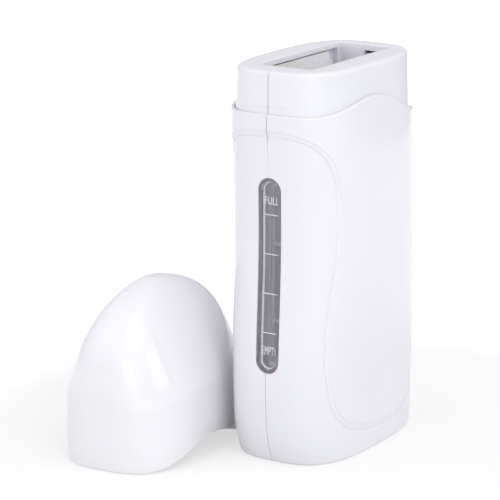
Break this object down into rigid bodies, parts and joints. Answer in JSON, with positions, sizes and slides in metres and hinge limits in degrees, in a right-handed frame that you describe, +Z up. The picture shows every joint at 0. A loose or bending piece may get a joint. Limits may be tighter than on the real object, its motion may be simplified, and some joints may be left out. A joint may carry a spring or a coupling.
{
  "type": "roll on wax heater",
  "caption": "Upright hand-held heater with an oval two-shell body, a deep cartridge well with a heating plate, a level window with a lamp, and a lift-off domed cap stood beside it.",
  "frame": {"origin": "on the base face, in the parting plane of the two shells and under the centre of the neck", "axes": "+Z up out of the well, -X to the narrow side with the level window, +X to the narrow side with the mains inlet, -Y to the wide front face"},
  "size_m": [0.1273, 0.1018, 0.15],
  "materials": {
    "casing": "glossy white moulded plastic with a faint lavender tone",
    "cap": "glossy white moulded plastic, a little brighter than the casing",
    "clear_lens": "clear moulded pane, polished",
    "liner": "satin light grey heat-resistant plastic",
    "plate": "bead-blasted",
    "lamp_red": "tinted clear epoxy",
    "ptc_ceramic": "sintered ceramic with silvered faces",
    "brass_strip": "rolled",
    "amber_film": "thin polyimide film",
    "spring_steel": "rolled spring steel",
    "screw_steel": "zinc plated",
    "fuse_metal": "plain",
    "sleeve": "silicone-coated glass sleeving",
    "tinned_brass": "tin plated brass",
    "wire_brown": "silicone insulation",
    "wire_blue": "silicone insulation",
    "resistor": "lacquered",
    "wire_red": "thin insulation",
    "inlet_black": "moulded"
  },
  "bodies": {
    "heater": {"front_shell": "casing", "rear_shell": "casing", "window_lens": "clear_lens", "well_liner": "liner", "heating_plate": "plate", "indicator_lamp": "lamp_red", "ptc_elements": "ptc_ceramic", "electrode_live": "brass_strip", "electrode_neutral": "brass_strip", "insulation_films": "amber_film", "heater_clamp": "spring_steel", "clamp_screws": "screw_steel", "thermal_fuse": "fuse_metal", "fuse_sleeve": "sleeve", "push_terminals": "tinned_brass", "wire_live": "wire_brown", "wire_neutral": "wire_blue", "wire_fuse_link": "wire_brown", "lamp_holder": "liner", "lamp_resistor": "resistor", "lamp_wires": "wire_red", "inlet_housing": "inlet_black", "inlet_pins": "tinned_brass", "shell_screws": "screw_steel"},
    "cap": {"cap_shell": "cap"}
  },
  "joints": [
    {"name": "cap_lift", "type": "slide", "parent": "heater", "child": "cap", "axis": [0, 0, 1], "range_m": [0, 0.15]}
  ]
}
